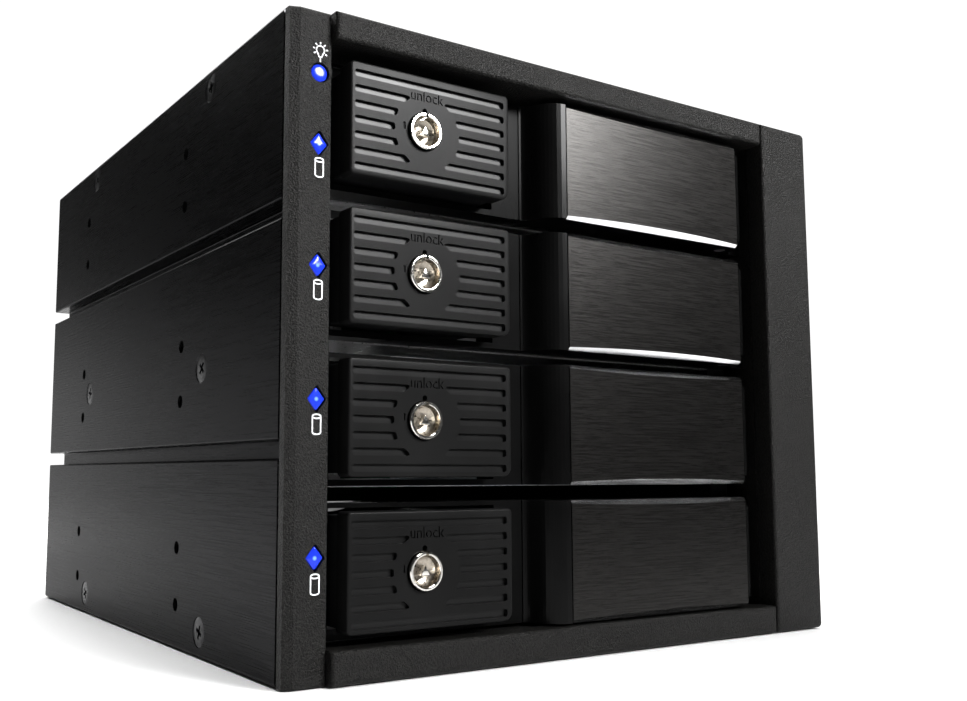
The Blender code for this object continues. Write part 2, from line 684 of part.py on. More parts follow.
def lever_plate():
    """The aluminium plate on the lever, with its long edges cut at 45 degrees."""
    front, back = y_at(FACE_D), y_at(FACE_D + PLATE_THICKNESS)
    z = TRAY_HALF_HEIGHT
    outline = [(front, -z + PLATE_CHAMFER), (front, z - PLATE_CHAMFER), (front + PLATE_CHAMFER, z),
               (back, z), (back, -z), (front + PLATE_CHAMFER, -z)]
    return prism(outline, 'X', *PLATE_X)


def hinge_pin():
    """The pin through both lugs and the lever."""
    return rod((PIVOT_X, y_at(PIVOT_D)), PIN_RADIUS, 'Z', -TRAY_HALF_HEIGHT + 0.1, TRAY_HALF_HEIGHT - 0.1, 12)


# ---------------------------------------------------------------------------------------------------------
# Inside and rear
# ---------------------------------------------------------------------------------------------------------

def tray_heights():
    """The middle height of each tray, from the bottom one up."""
    return [FIRST_TRAY_Z + TRAY_PITCH * i for i in range(TRAY_COUNT)]


def guide(side):
    """A grooved guide wall for the tray runners, with stand-offs to the side panel; side is -1 or 1."""
    inner = DRIVE_CENTRE_X + side * (RAIL_OUTER + 0.4)
    groove = DRIVE_CENTRE_X + side * (RUNNER_OUTER + 0.4)
    outer = side * (HALF - GROOVE_DEPTH - GROOVE_WALL - 0.4)
    back = inner + side * 6.0
    outline = [(inner, 4.0)]
    for z in tray_heights():
        low, high = z + RUNNER_Z[0] - GAP, z + RUNNER_Z[1] + GAP
        outline += [(inner, low), (groove, low), (groove, high), (inner, high)]
    outline += [(inner, 122.0), (back, 122.0), (back, 4.0)]
    wall = prism(outline, 'Y', y_at(PANEL_BACK_D + 0.6), y_at(BOARD_D - 0.9))
    ribs = []
    for depth in (30.0, 90.0, 150.0):
        low, high = sorted((back - side, outer))
        ribs.append(block((low, high), (depth, depth + 6.0), (6.0, 120.0)))
    return joined(wall, *ribs)


def backplane_board():
    """The circuit board across the back of the bays, with an air window behind each drive."""
    board = block((-66.8, 66.8), (BOARD_D, BOARD_D + 1.6), (4.0, 122.0))
    tools = []
    for z in tray_heights():
        window = rounded(rectangle((-4.0, 56.0), (z - 8.5, z + 8.5)), 3.0, 3)
        tools.append(prism(window, 'Y', y_at(BOARD_D - 1), y_at(BOARD_D + 3)))
    return cut(board, *tools)


def drive_connector(z):
    """A drive socket on the board, with its contact tongue."""
    base = block((-50.0, -10.0), (163.4, BOARD_D - GAP), (z - 10.0, z - 3.0))
    tongue = block((-47.0, -13.0), (160.3, 164.0), (z - 7.4, z - 5.8))
    return joined(base, tongue)


def rear_port(centre_x, z, size):
    """A rear socket that stands on the board and looks out of the rear panel."""
    half_x, half_z = size[0] / 2, size[1] / 2
    shell = block((centre_x - half_x, centre_x + half_x), (BOARD_D + 1.9, PORT_BACK_D),
                  (z - half_z, z + half_z))
    mouth = block((centre_x - half_x + 1.2, centre_x + half_x - 1.2), (PORT_BACK_D - 4.5, PORT_BACK_D + 1),
                  (z - half_z + 1.2, z + half_z - 1.2))
    tongue = block((centre_x - half_x + 2.4, centre_x + half_x - 2.4), (PORT_BACK_D - 5.0, PORT_BACK_D - 0.6),
                   (z - 0.2, z + 0.9))
    return joined(cut(shell, mouth), tongue)


def fan_corners():
    """The four fan screw places."""
    return [(FAN_X + i * FAN_HOLE_PITCH, FAN_Z + j * FAN_HOLE_PITCH) for i in (-1, 1) for j in (-1, 1)]


def fan_frame():
    """The square fan housing with its motor mount, four struts and axle post."""
    corners = rectangle((FAN_X - FAN_HALF, FAN_X + FAN_HALF), (FAN_Z - FAN_HALF, FAN_Z + FAN_HALF))
    square = rounded(corners, 4.0, 4)
    housing = prism(square, 'Y', y_at(FAN_D[0]), y_at(FAN_D[1]))
    span = (y_at(FAN_D[0]) - 1, y_at(FAN_D[1]) + 1)
    tools = [rod((FAN_X, FAN_Z), FAN_BORE, 'Y', *span, segments=48)]
    tools += [rod(spot, 2.1, 'Y', *span, segments=10) for spot in fan_corners()]
    housing = cut(housing, *tools)
    mount_span = (FAN_D[1] - 3.0, FAN_D[1] - 0.2)
    mount = rod((FAN_X, FAN_Z), HUB_RADIUS, 'Y', y_at(mount_span[0]), y_at(mount_span[1]), 32)
    post = rod((FAN_X, FAN_Z), 3.0, 'Y', y_at(FAN_D[0] + 10.0), y_at(mount_span[1] - 1.0), 16)
    mount = joined(mount, post)
    for turn in range(4):
        strut = box((HUB_RADIUS - 2.0, FAN_BORE + 1.0),
                    (y_at(mount_span[0] + 0.2), y_at(mount_span[1] - 0.2)), (-1.5, 1.5))
        strut.transform(Matrix.Translation((FAN_X, 0, FAN_Z)) @ Matrix.Rotation(math.radians(20 + 90 * turn), 4, 'Y'))
        mount = joined(mount, strut)
    return joined(housing, mount)


def blade():
    """One fan blade as a lofted plate along +X, about the fan's own axis."""
    stations = ((HUB_RADIUS - 1.5, 50.0, 13.0), (24.0, 42.0, 15.0), (31.0, 36.0, 16.5), (37.0, 32.0, 17.0))
    middle = y_at(FAN_D[0] + 10.5)
    bm = bmesh.new()
    rings = []
    for radius, pitch, chord in stations:
        across = Vector((0.0, math.sin(math.radians(pitch)), math.cos(math.radians(pitch))))
        normal = Vector((0.0, across.z, -across.y))
        centre = Vector((radius, middle, 0.0))
        corners = ((-0.5, -0.6), (0.5, -0.4), (0.5, 0.4), (-0.5, 0.6))
        rings.append([bm.verts.new(centre + across * chord * u + normal * v) for u, v in corners])
    bm.faces.new(rings[0])
    bm.faces.new(rings[-1])
    for low, high in zip(rings, rings[1:]):
        for i in range(4):
            j = (i + 1) % 4
            bm.faces.new((low[i], low[j], high[j], high[i]))
    return to_mesh(bm)


def fan_rotor():
    """The hub and blades, with a bore for the axle post."""
    hub = rod((FAN_X, FAN_Z), HUB_RADIUS, 'Y', y_at(FAN_D[0] + 1.2), y_at(FAN_D[1] - 4.0), 32)
    hub = beveled(hub, at_depth(FAN_D[0] + 1.2), 1.2, 2)
    for turn in range(BLADE_COUNT):
        one = blade()
        angle = 2 * math.pi * turn / BLADE_COUNT
        one.transform(Matrix.Translation((FAN_X, 0, FAN_Z)) @ Matrix.Rotation(angle, 4, 'Y'))
        hub = joined(hub, one)
    bore = rod((FAN_X, FAN_Z), 3.3, 'Y', y_at(FAN_D[0] + 8.0), y_at(FAN_D[1]), 16)
    return cut(hub, bore)


def fan_guard():
    """The finger guard: rings on two crossed spokes that end at the screw places."""
    low, high = y_at(FAN_D[1] + 0.1), y_at(TOTAL_DEPTH)
    centre = (FAN_X, FAN_Z)
    reach = FAN_HOLE_PITCH * math.sqrt(2)
    guard = None
    for turn in (45, 135):
        spoke = prism(rounded(rectangle((-reach - 3.4, reach + 3.4), (-2.2, 2.2)), 2.0, 3), 'Y', low, high)
        spoke.transform(Matrix.Translation((FAN_X, 0, FAN_Z)) @ Matrix.Rotation(math.radians(turn), 4, 'Y'))
        guard = spoke if guard is None else joined(guard, spoke)
    for radius in (38.0, 30.0, 22.0, 14.0):
        ring = rod(centre, radius, 'Y', low + 0.1, high - 0.1, 32)
        guard = joined(guard, cut(ring, rod(centre, radius - 1.5, 'Y', low - 1, high + 1, 32)))
    screw_holes = [rod(spot, 1.8, 'Y', low - 1, high + 1, 10) for spot in fan_corners()]
    return cut(guard, *screw_holes)


# ---------------------------------------------------------------------------------------------------------
# Assembly
# ---------------------------------------------------------------------------------------------------------

def build_body():
    """Side extrusions, sheets and the rear plate."""
    place('side_panel_left', side_panel(-1), 'aluminium_black')
    place('side_panel_right', side_panel(1), 'aluminium_black')
    place('top_cover', flat_sheet((BODY_HEIGHT - SHEET, BODY_HEIGHT)), 'aluminium_black')
    place('bottom_plate', flat_sheet((0.0, SHEET)), 'aluminium_black')
    place('rear_panel', rear_panel(), 'aluminium_black')


def build_front():
    """The frame around the trays and the status lights."""
    place('front_bezel', front_bezel(), 'bezel_plastic')
    place('top_rail', rail((OPENING_Z[1], BEZEL_HEIGHT)), 'bezel_plastic')
    place('bottom_rail', rail((0.0, OPENING_Z[0])), 'bezel_plastic')
    place('right_pillar', right_pillar(), 'bezel_plastic')
    for name, kind, z in light_places():
        place(name, light_solid(kind, z, 0.0, LIGHT_FRONT_D, LIGHT_BACK_D), 'light_lens')
    place('light_board', light_board(), 'board')


def build_inside():
    """Guides, backplane and connectors."""
    place('guide_left', guide(-1), 'inner_plastic')
    place('guide_right', guide(1), 'inner_plastic')
    place('backplane_board', backplane_board(), 'board')
    for number, z in enumerate(tray_heights(), 1):
        place(f'drive_connector_{number}', drive_connector(z), 'connector_plastic')
    for number, z in enumerate(PORT_Z, 1):
        place(f'data_port_{number}', rear_port(PORT_X, z, PORT_SIZE), 'connector_plastic')
    for number, z in enumerate(POWER_Z, 1):
        place(f'power_port_{number}', rear_port(POWER_X, z, POWER_SIZE), 'connector_plastic')


def build_fan():
    """The rear fan; the rotor hangs on an empty on its axis."""
    place('fan_frame', fan_frame(), 'fan_plastic')
    place('fan_guard', fan_guard(), 'steel')
    centre = (FAN_X, y_at(FAN_D[0] + 10.5), FAN_Z)
    axis = axis_empty('fan_axis', *centre)
    place('fan_rotor', fan_rotor(), 'fan_plastic', axis, centre)


def build_trays():
    """Four trays, each with its lever, button and lock on empties at their joints."""
    meshes = {'tray_carrier': carrier(), 'tray_front': tray_front(), 'hinge_pin': hinge_pin(), 'lever': lever(),
              'lever_plate': lever_plate(), 'unlock_button': unlock_button(), 'lock_cylinder': lock_cylinder()}
    hinge = (PIVOT_X, y_at(PIVOT_D), 0.0)
    lock = (LOCK_X, y_at(FACE_D), LOCK_Z)
    for number, z in enumerate(tray_heights(), 1):
        tray = axis_empty(f'tray_{number}', 0.0, 0.0, z)
        lever_axis = axis_empty(f'lever_axis_{number}', *hinge, tray)
        button = axis_empty(f'button_{number}', 0.0, 0.0, 0.0, tray)
        lock_axis = axis_empty(f'lock_axis_{number}', *lock, button)
        place(f'tray_carrier_{number}', meshes['tray_carrier'], 'steel', tray)
        place(f'tray_front_{number}', meshes['tray_front'], 'inner_plastic', tray)
        place(f'hinge_pin_{number}', meshes['hinge_pin'], 'steel', tray)
        place(f'lever_{number}', meshes['lever'], 'lever_plastic', lever_axis, hinge)
        place(f'lever_plate_{number}', meshes['lever_plate'], 'plate_aluminium', lever_axis, hinge)
        place(f'unlock_button_{number}', meshes['unlock_button'], 'button_plastic', button)
        place(f'lock_cylinder_{number}', meshes['lock_cylinder'], 'nickel', lock_axis, lock)


def build():
    """The whole cage."""
    for item in list(bpy.data.objects):
        bpy.data.objects.remove(item)
    build_body()
    build_front()
    build_inside()
    build_fan()
    build_trays()


build()
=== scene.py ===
"""Looks for the hot-swap drive cage: materials, fine front pieces, screws, lights and the camera.

Lengths in this file are in millimetres unless a name says otherwise, and MM turns them into metres. Places come
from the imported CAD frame: a node's box or a joint's position.
"""
import json
import math

import bmesh
import bpy
from mathutils import Matrix, Vector


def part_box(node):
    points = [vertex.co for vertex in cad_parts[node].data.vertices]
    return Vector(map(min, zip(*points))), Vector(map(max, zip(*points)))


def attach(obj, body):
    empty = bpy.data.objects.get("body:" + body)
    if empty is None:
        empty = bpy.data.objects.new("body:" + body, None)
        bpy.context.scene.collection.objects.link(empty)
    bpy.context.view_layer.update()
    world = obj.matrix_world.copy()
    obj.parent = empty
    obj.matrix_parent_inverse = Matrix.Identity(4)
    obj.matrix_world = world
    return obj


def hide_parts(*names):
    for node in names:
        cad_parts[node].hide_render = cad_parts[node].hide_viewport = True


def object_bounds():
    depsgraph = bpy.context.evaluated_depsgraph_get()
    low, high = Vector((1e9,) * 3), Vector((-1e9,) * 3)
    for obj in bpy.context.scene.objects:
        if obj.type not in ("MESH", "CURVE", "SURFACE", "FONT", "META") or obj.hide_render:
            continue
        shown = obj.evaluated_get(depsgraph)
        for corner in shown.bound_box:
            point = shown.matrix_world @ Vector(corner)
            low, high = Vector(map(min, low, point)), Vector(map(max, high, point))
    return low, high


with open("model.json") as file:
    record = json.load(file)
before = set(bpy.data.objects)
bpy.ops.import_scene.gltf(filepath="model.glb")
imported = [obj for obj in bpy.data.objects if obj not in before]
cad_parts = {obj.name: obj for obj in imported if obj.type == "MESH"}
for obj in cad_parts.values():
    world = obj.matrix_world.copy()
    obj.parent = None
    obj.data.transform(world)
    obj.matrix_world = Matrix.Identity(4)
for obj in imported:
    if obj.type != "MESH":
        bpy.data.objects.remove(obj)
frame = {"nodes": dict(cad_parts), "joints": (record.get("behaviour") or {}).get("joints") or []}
cad_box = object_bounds()

MM = 0.001
NODES = frame["nodes"]
JOINTS = {joint["name"]: joint for joint in frame["joints"]}
TRAYS = (1, 2, 3, 4)


# ---------------------------------------------------------------------------------------------------------
# Materials
# ---------------------------------------------------------------------------------------------------------

class Shader:
    """A small helper that builds one node material around a Principled BSDF."""

    def __init__(self, name, color, roughness, metallic=0.0):
        self.material = bpy.data.materials.new(name)
        self.material.use_nodes = True
        self.tree = self.material.node_tree
        self.bsdf = self.tree.nodes["Principled BSDF"]
        self.set("Base Color", (*color, 1.0))
        self.set("Roughness", roughness)
        self.set("Metallic", metallic)
        self.coordinates = self.tree.nodes.new("ShaderNodeTexCoord").outputs["Object"]

    def set(self, socket, value):
        """A constant on the shader's own socket."""
        self.bsdf.inputs[socket].default_value = value

    def link(self, output, socket):
        """A computed value on the shader's socket."""
        self.tree.links.new(output, self.bsdf.inputs[socket])

    def noise(self, scale, stretch=(1, 1, 1), detail=4.0, roughness=0.6):
        """A noise value over the object's own coordinates; stretch lengthens it along an axis."""
        mapping = self.tree.nodes.new("ShaderNodeMapping")
        mapping.inputs["Scale"].default_value = [1 / value for value in stretch]
        texture = self.tree.nodes.new("ShaderNodeTexNoise")
        texture.inputs["Scale"].default_value = scale
        texture.inputs["Detail"].default_value = detail
        texture.inputs["Roughness"].default_value = roughness
        self.tree.links.new(self.coordinates, mapping.inputs["Vector"])
        self.tree.links.new(mapping.outputs["Vector"], texture.inputs["Vector"])
        return texture.outputs["Fac"]

    def ramp(self, value, low, high, start=0.3, end=0.7):
        """A value carried from one range to another."""
        node = self.tree.nodes.new("ShaderNodeMapRange")
        node.inputs["From Min"].default_value = start
        node.inputs["From Max"].default_value = end
        node.inputs["To Min"].default_value = low
        node.inputs["To Max"].default_value = high
        self.tree.links.new(value, node.inputs["Value"])
        return node.outputs["Result"]

    def blend(self, value, dark, light, start=0.3, end=0.7):
        """A color that runs from dark to light with a value."""
        node = self.tree.nodes.new("ShaderNodeValToRGB")
        node.color_ramp.elements[0].position = start
        node.color_ramp.elements[1].position = end
        node.color_ramp.elements[0].color = (*dark, 1.0)
        node.color_ramp.elements[1].color = (*light, 1.0)
        self.tree.links.new(value, node.inputs["Fac"])
        return node.outputs["Color"]

    def bump(self, value, strength, depth):
        """Surface relief of a depth in metres."""
        node = self.tree.nodes.new("ShaderNodeBump")
        node.inputs["Strength"].default_value = strength
        node.inputs["Distance"].default_value = depth
        self.tree.links.new(value, node.inputs["Height"])
        self.link(node.outputs["Normal"], "Normal")


def brushed_aluminium(name, dark, light, roughness, stretch, line_scale):
    """Anodised aluminium with fine lines along one axis and a faint slow variation."""
    shader = Shader(name, light, roughness, 0.85)
    shader.set("Specular Tint", (0.45, 0.45, 0.45, 1.0))
    lines = shader.noise(line_scale, stretch, 3.0, 0.75)
    cloud = shader.noise(14.0, (1, 1, 1), 2.0)
    shader.link(shader.blend(lines, dark, light, 0.30, 0.70), "Base Color")
    spread = shader.tree.nodes.new("ShaderNodeMath")
    spread.operation = "MULTIPLY_ADD"
    spread.inputs[1].default_value = 0.16
    shader.tree.links.new(lines, spread.inputs[0])
    shader.tree.links.new(shader.ramp(cloud, roughness - 0.10, roughness - 0.06), spread.inputs[2])
    shader.link(spread.outputs["Value"], "Roughness")
    shader.bump(lines, 0.25, 0.00002)
    return shader.material


def grained_plastic(name, dark, light, roughness):
    """Moulded plastic with a fine spark-eroded grain."""
    shader = Shader(name, light, roughness)
    grain = shader.noise(2800.0, (1, 1, 1), 2.0, 0.6)
    cloud = shader.noise(40.0, (1, 1, 1), 3.0)
    shader.link(shader.blend(grain, dark, light, 0.35, 0.65), "Base Color")
    shader.link(shader.ramp(cloud, roughness - 0.05, roughness + 0.05), "Roughness")
    shader.bump(grain, 1.0, 0.00030)
    shader.set("Specular IOR Level", 0.12)
    return shader.material


def moulded_plastic(name, dark, light, roughness, relief=0.00001, gloss=0.12):
    """Smooth moulded plastic with a faint flow pattern and soft roughness changes."""
    shader = Shader(name, light, roughness)
    shader.set("Specular IOR Level", gloss)
    flow = shader.noise(60.0, (1, 1, 2.5), 3.0)
    fine = shader.noise(3200.0, (1, 1, 1), 1.0)
    shader.link(shader.blend(flow, dark, light), "Base Color")
    shader.link(shader.ramp(flow, roughness - 0.04, roughness + 0.05), "Roughness")
    shader.bump(fine, 0.3, relief)
    return shader.material


def polished_metal(name, dark, light, roughness, stretch=(1, 1, 1)):
    """Plated or cut metal with faint turning marks."""
    shader = Shader(name, light, roughness, 1.0)
    marks = shader.noise(1800.0, stretch, 3.0)
    shader.link(shader.blend(marks, dark, light), "Base Color")
    shader.link(shader.ramp(marks, roughness * 0.7, roughness * 1.4), "Roughness")
    shader.bump(marks, 0.2, 0.00001)
    return shader.material


def circuit_board_mask(name):
    """Green solder mask over a faint pattern of tracks."""
    shader = Shader(name, (0.01, 0.09, 0.04), 0.35)
    brick = shader.tree.nodes.new("ShaderNodeTexBrick")
    brick.inputs["Scale"].default_value = 260.0
    brick.inputs["Color1"].default_value = (0.010, 0.080, 0.035, 1.0)
    brick.inputs["Color2"].default_value = (0.014, 0.100, 0.045, 1.0)
    brick.inputs["Mortar"].default_value = (0.030, 0.150, 0.070, 1.0)
    shader.tree.links.new(shader.coordinates, brick.inputs["Vector"])
    shader.link(brick.outputs["Color"], "Base Color")
    shader.bump(shader.noise(900.0), 0.2, 0.00002)
    return shader.material


def glowing_lens(name):
    """A blue light pipe with a pale hot middle that falls off towards its rim."""
    shader = Shader(name, (0.01, 0.03, 0.5), 0.12)
    length = shader.tree.nodes.new("ShaderNodeVectorMath")
    length.operation = "LENGTH"
    shader.tree.links.new(shader.coordinates, length.inputs[0])
    reach = shader.ramp(length.outputs["Value"], 0.0, 1.0, 0.0002, 0.0019)
    glow = shader.blend(reach, (0.24, 0.44, 1.0), (0.001, 0.005, 0.24), 0.0, 0.17)
    shader.link(glow, "Emission Color")
    shader.link(shader.ramp(length.outputs["Value"], 1.5, 0.22, 0.0003, 0.0019), "Emission Strength")
    shader.link(shader.ramp(shader.noise(900.0), 0.10, 0.16), "Roughness")
    shader.set("Specular IOR Level", 0.3)
    return shader.material


MATERIALS = {
    "body": brushed_aluminium("body_metal", (0.007, 0.007, 0.0075), (0.022, 0.022, 0.023), 0.28,
                              (1, 70, 1), 4200.0),
    "plate": brushed_aluminium("plate_metal", (0.012, 0.0115, 0.011), (0.030, 0.029, 0.028), 0.28,
                               (60, 1, 1), 5200.0),
    "bezel": grained_plastic("bezel_grain", (0.0005, 0.0005, 0.0005), (0.0130, 0.0125, 0.0115), 0.44),
    "button": moulded_plastic("button_satin", (0.005, 0.005, 0.005), (0.008, 0.008, 0.008), 0.34, gloss=0.045),
    # painted shade: slot floors are coloured darker than the button face, with a glossier surface
    "slot": moulded_plastic("slot_glossy_painted_shade", (0.001, 0.001, 0.001), (0.002, 0.002, 0.002), 0.34, gloss=0.20),
    # painted shade: floors of the engraved word and mark, coloured darker than the button face, with a matte
    # surface
    "recess": moulded_plastic("recess_painted_shade", (0.002, 0.002, 0.002), (0.003, 0.003, 0.003), 0.6),
    "lever": moulded_plastic("lever_gloss", (0.002, 0.002, 0.002), (0.004, 0.004, 0.004), 0.20, gloss=0.075),
    "tray": moulded_plastic("tray_satin", (0.001, 0.001, 0.001), (0.003, 0.003, 0.003), 0.30, gloss=0.03),
    "inner": moulded_plastic("inner_matte", (0.014, 0.014, 0.015), (0.022, 0.022, 0.023), 0.55, 0.00003),
    "connector": moulded_plastic("connector_black", (0.010, 0.010, 0.011), (0.020, 0.020, 0.021), 0.42),
    "fan": moulded_plastic("fan_black", (0.012, 0.012, 0.013), (0.020, 0.020, 0.021), 0.45),
    "nickel": polished_metal("nickel_plate", (0.70, 0.68, 0.63), (0.90, 0.88, 0.84), 0.12),
    # painted shade and painted reflection: the inside of the lock's cup is a darker, browner copy of the nickel
    "cup": polished_metal("cup_painted_shade", (0.34, 0.30, 0.25), (0.52, 0.47, 0.40), 0.30),
    "steel": polished_metal("zinc_steel", (0.50, 0.50, 0.51), (0.66, 0.66, 0.67), 0.34, (1, 8, 1)),
    "chrome": polished_metal("chrome_wire", (0.62, 0.62, 0.63), (0.80, 0.80, 0.81), 0.16),
    "cut": polished_metal("cut_edge", (0.72, 0.72, 0.73), (0.90, 0.90, 0.91), 0.14, (20, 1, 1)),
    "screw": polished_metal("black_screw", (0.006, 0.006, 0.007), (0.016, 0.016, 0.017), 0.34),
    "board": circuit_board_mask("board_mask"),
    "print": moulded_plastic("white_print", (0.70, 0.72, 0.74), (0.86, 0.88, 0.90), 0.5),
    "light": glowing_lens("light_blue"),
}

NODE_LOOKS = {
    "body": ("side_panel", "top_cover", "bottom_plate", "rear_panel"),
    "bezel": ("front_bezel", "top_rail", "bottom_rail", "right_pillar"),
    "board": ("light_board", "backplane_board"),
    "inner": ("guide_",),
    "connector": ("drive_connector", "data_port", "power_port"),
    "fan": ("fan_frame", "fan_rotor"),
    "chrome": ("fan_guard",),
    "steel": ("tray_carrier", "hinge_pin"),
    "tray": ("tray_front",),
    "lever": ("lever_",),
    "plate": ("lever_plate",),
    "button": ("unlock_button",),
    "nickel": ("lock_cylinder",),
    "light": ("power_light", "drive_light"),
}


def dress_nodes():
    """Every CAD node gets its look; where two prefixes fit a name, the later one counts."""
    for look, prefixes in NODE_LOOKS.items():
        for name, node in NODES.items():
            if name.startswith(prefixes):
                node.data.materials.clear()
                node.data.materials.append(MATERIALS[look])


# ---------------------------------------------------------------------------------------------------------
# Mesh tools
# ---------------------------------------------------------------------------------------------------------

def to_mesh(bm, name="piece"):
    """The bmesh, in millimetres, as a mesh with its faces turned outward."""
    bmesh.ops.recalc_face_normals(bm, faces=bm.faces)
    mesh = bpy.data.meshes.new(name)
    bm.to_mesh(mesh)
    bm.free()
    return mesh


def arc(centre, radius, start, end, steps):
    """Points along an arc, with angles in degrees."""
    angles = [math.radians(start + (end - start) * i / steps) for i in range(steps + 1)]
    return [(centre[0] + radius * math.cos(a), centre[1] + radius * math.sin(a)) for a in angles]


def circle(centre, radius, segments):
    """Points once around a circle."""
    return arc(centre, radius, 0, 360, segments)[:-1]


def rounded_rectangle(u, v, radii, steps=8):
    """A rectangle between limits u and v with its corners rounded, starting at the low corner."""
    signs = ((0, 0, 180), (1, 0, 270), (1, 1, 0), (0, 1, 90))
    points = []
    for (i, j, start), radius in zip(signs, radii):
        centre = (u[i] + radius * (1 - 2 * i), v[j] + radius * (1 - 2 * j))
        points += arc(centre, radius, start, start + 90, steps)
    return points


def prism(outline, low, high):
    """An outline in X and Z swept along Y."""
    bm = bmesh.new()
    base = bm.faces.new([bm.verts.new((u, low, v)) for u, v in outline])
    sweep = bmesh.ops.extrude_face_region(bm, geom=[base])
    moved = [item for item in sweep["geom"] if isinstance(item, bmesh.types.BMVert)]
    bmesh.ops.translate(bm, verts=moved, vec=(0, high - low, 0))
    return to_mesh(bm)


def turned(profile, segments=64):
    """A closed solid turned about the Y axis from (radius, y) points that start and end on the axis."""
    bm = bmesh.new()
    rings = []
    for radius, y in profile:
        points = [(0.0, 0.0)] if radius == 0 else circle((0, 0), radius, segments)
        rings.append([bm.verts.new((u, y, v)) for u, v in points])
    for low, high in zip(rings, rings[1:]):
        for i in range(segments):
            j = (i + 1) % segments
            corners = [low[i % len(low)], low[j % len(low)], high[j % len(high)], high[i % len(high)]]
            bm.faces.new(list(dict.fromkeys(corners)))
    return to_mesh(bm)


def tube(points, radius, closed=False, segments=10):
    """A round bar along a path."""
    bm = bmesh.new()
    rings = []
    count = len(points)
    for i, point in enumerate(points):
        here = Vector(point)
        after = Vector(points[(i + 1) % count]) if closed or i + 1 < count else here
        before = Vector(points[i - 1]) if closed or i > 0 else here
        direction = (after - before).normalized()
        side = direction.cross(Vector((0, 1, 0)))
        side = side.normalized() if side.length > 1e-6 else Vector((1, 0, 0))
        up = side.cross(direction)
        spokes = [math.tau * k / segments for k in range(segments)]
        rings.append([bm.verts.new(here + (side * math.cos(a) + up * math.sin(a)) * radius) for a in spokes])
    pairs = list(zip(rings, rings[1:])) + ([(rings[-1], rings[0])] if closed else [])
    for low, high in pairs:
        for k in range(segments):
            j = (k + 1) % segments
            bm.faces.new((low[k], low[j], high[j], high[k]))
    if not closed:
        bm.faces.new(rings[0])
        bm.faces.new(rings[-1])
    return to_mesh(bm)


def gather(meshes):
    """Several meshes as one."""
    bm = bmesh.new()
    for mesh in meshes:
        bm.from_mesh(mesh)
        bpy.data.meshes.remove(mesh)
    return to_mesh(bm)


def combined(mesh, tool, operation):
    """The mesh after a Boolean with a tool mesh."""
    pair = [bpy.data.objects.new(name, data) for name, data in (("work", mesh), ("tool", tool))]
    for item in pair:
        bpy.context.scene.collection.objects.link(item)
    modifier = pair[0].modifiers.new("Boolean", "BOOLEAN")
    modifier.operation = operation
    modifier.solver = "EXACT"
    modifier.object = pair[1]
    graph = bpy.context.evaluated_depsgraph_get()
    result = bpy.data.meshes.new_from_object(pair[0].evaluated_get(graph))
    for item in pair:
        data = item.data
        bpy.data.objects.remove(item)
        bpy.data.meshes.remove(data)
    return result


def beveled(mesh, chosen, width, segments=3):
    """The mesh with the edges rounded whose two ends both pass the test."""
    bm = bmesh.new()
    bm.from_mesh(mesh)
    bpy.data.meshes.remove(mesh)
    edges = [edge for edge in bm.edges if chosen(edge.verts[0].co) and chosen(edge.verts[1].co)]
    bmesh.ops.bevel(bm, geom=edges, offset=width, segments=segments, profile=0.5, affect="EDGES")
    return to_mesh(bm)


def marked(mesh, chosen, index):
    """The mesh with a material index on each face whose middle and normal pass the test."""
    for face in mesh.polygons:
        if chosen(face.center, face.normal):
            face.material_index = index
    return mesh


def add_piece(name, mesh, looks, place, body, replaces=None):
    """A new piece from a mesh in millimetres about its own place, which is in metres in the row frame."""
    data = mesh.copy()
    data.name = name
    data.transform(Matrix.Scale(MM, 4))
    indices = [face.material_index for face in data.polygons]
    data.materials.clear()
    for look in looks:
        data.materials.append(MATERIALS[look])
    data.polygons.foreach_set("material_index", indices)
    data.shade_smooth()
    data.set_sharp_from_angle(angle=math.radians(32))
    piece = bpy.data.objects.new(name, data)
    bpy.context.scene.collection.objects.link(piece)
    piece.location = place
    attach(piece, body)
    if replaces:
        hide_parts(replaces)
    return piece


# ---------------------------------------------------------------------------------------------------------
# Unlock buttons
# ---------------------------------------------------------------------------------------------------------

SLOT_PITCH = 3.05
SLOT_HEIGHT = 1.5
SLOT_DEPTH = 0.8
SLOT_MARGINS = (0.9, 1.3)
SLOT_CORNER = 0.6
LAST_ROW = 3
BOSS_CENTRE_X = 0.76
BOSS_RADIUS = 7.6
KEYHOLE_RADIUS = 0.55
KEYHOLE_HEIGHT = 4.35
CAP_DEPTH = 4.23
NECK_INSET = 0.7
CAP_CORNERS = (0.9, 2.0, 0.9, 0.9)
CAP_EDGE = 0.4
WELL_RADIUS = 3.9
NECK_WELL_RADIUS = 3.95
TAB_REACH = 1.4


def slot_outline(left, right, z, ends):
    """One finger slot; an end marked round follows the circle left free about the lock."""
    half = SLOT_HEIGHT / 2
    corners = []
    for x, is_round, sign in ((left, ends[0], -1), (right, ends[1], 1)):
        for edge in (-half, half):
            if is_round:
                reach = math.sqrt(BOSS_RADIUS ** 2 - (z + edge) ** 2)
                corners.append((BOSS_CENTRE_X - sign * reach, z + edge))
            else:
                corners.append((x, z + edge))
    order = [corners[0], corners[2], corners[3], corners[1]]
    return fillet(order, SLOT_CORNER, 5)


def fillet(corners, radius, steps):
    """A polygon with its corners rounded."""
    points = []
    for i, corner in enumerate(corners):
        here = Vector(corner)
        before = (Vector(corners[i - 1]) - here).normalized()
        after = (Vector(corners[(i + 1) % len(corners)]) - here).normalized()
        reach = radius / math.tan(before.angle(after) / 2)
        first, last = here + before * reach, here + after * reach
        for step in range(steps + 1):
            t = step / steps
            point = first * (1 - t) ** 2 + here * 2 * t * (1 - t) + last * t ** 2
            points.append((point.x, point.y))
    return points


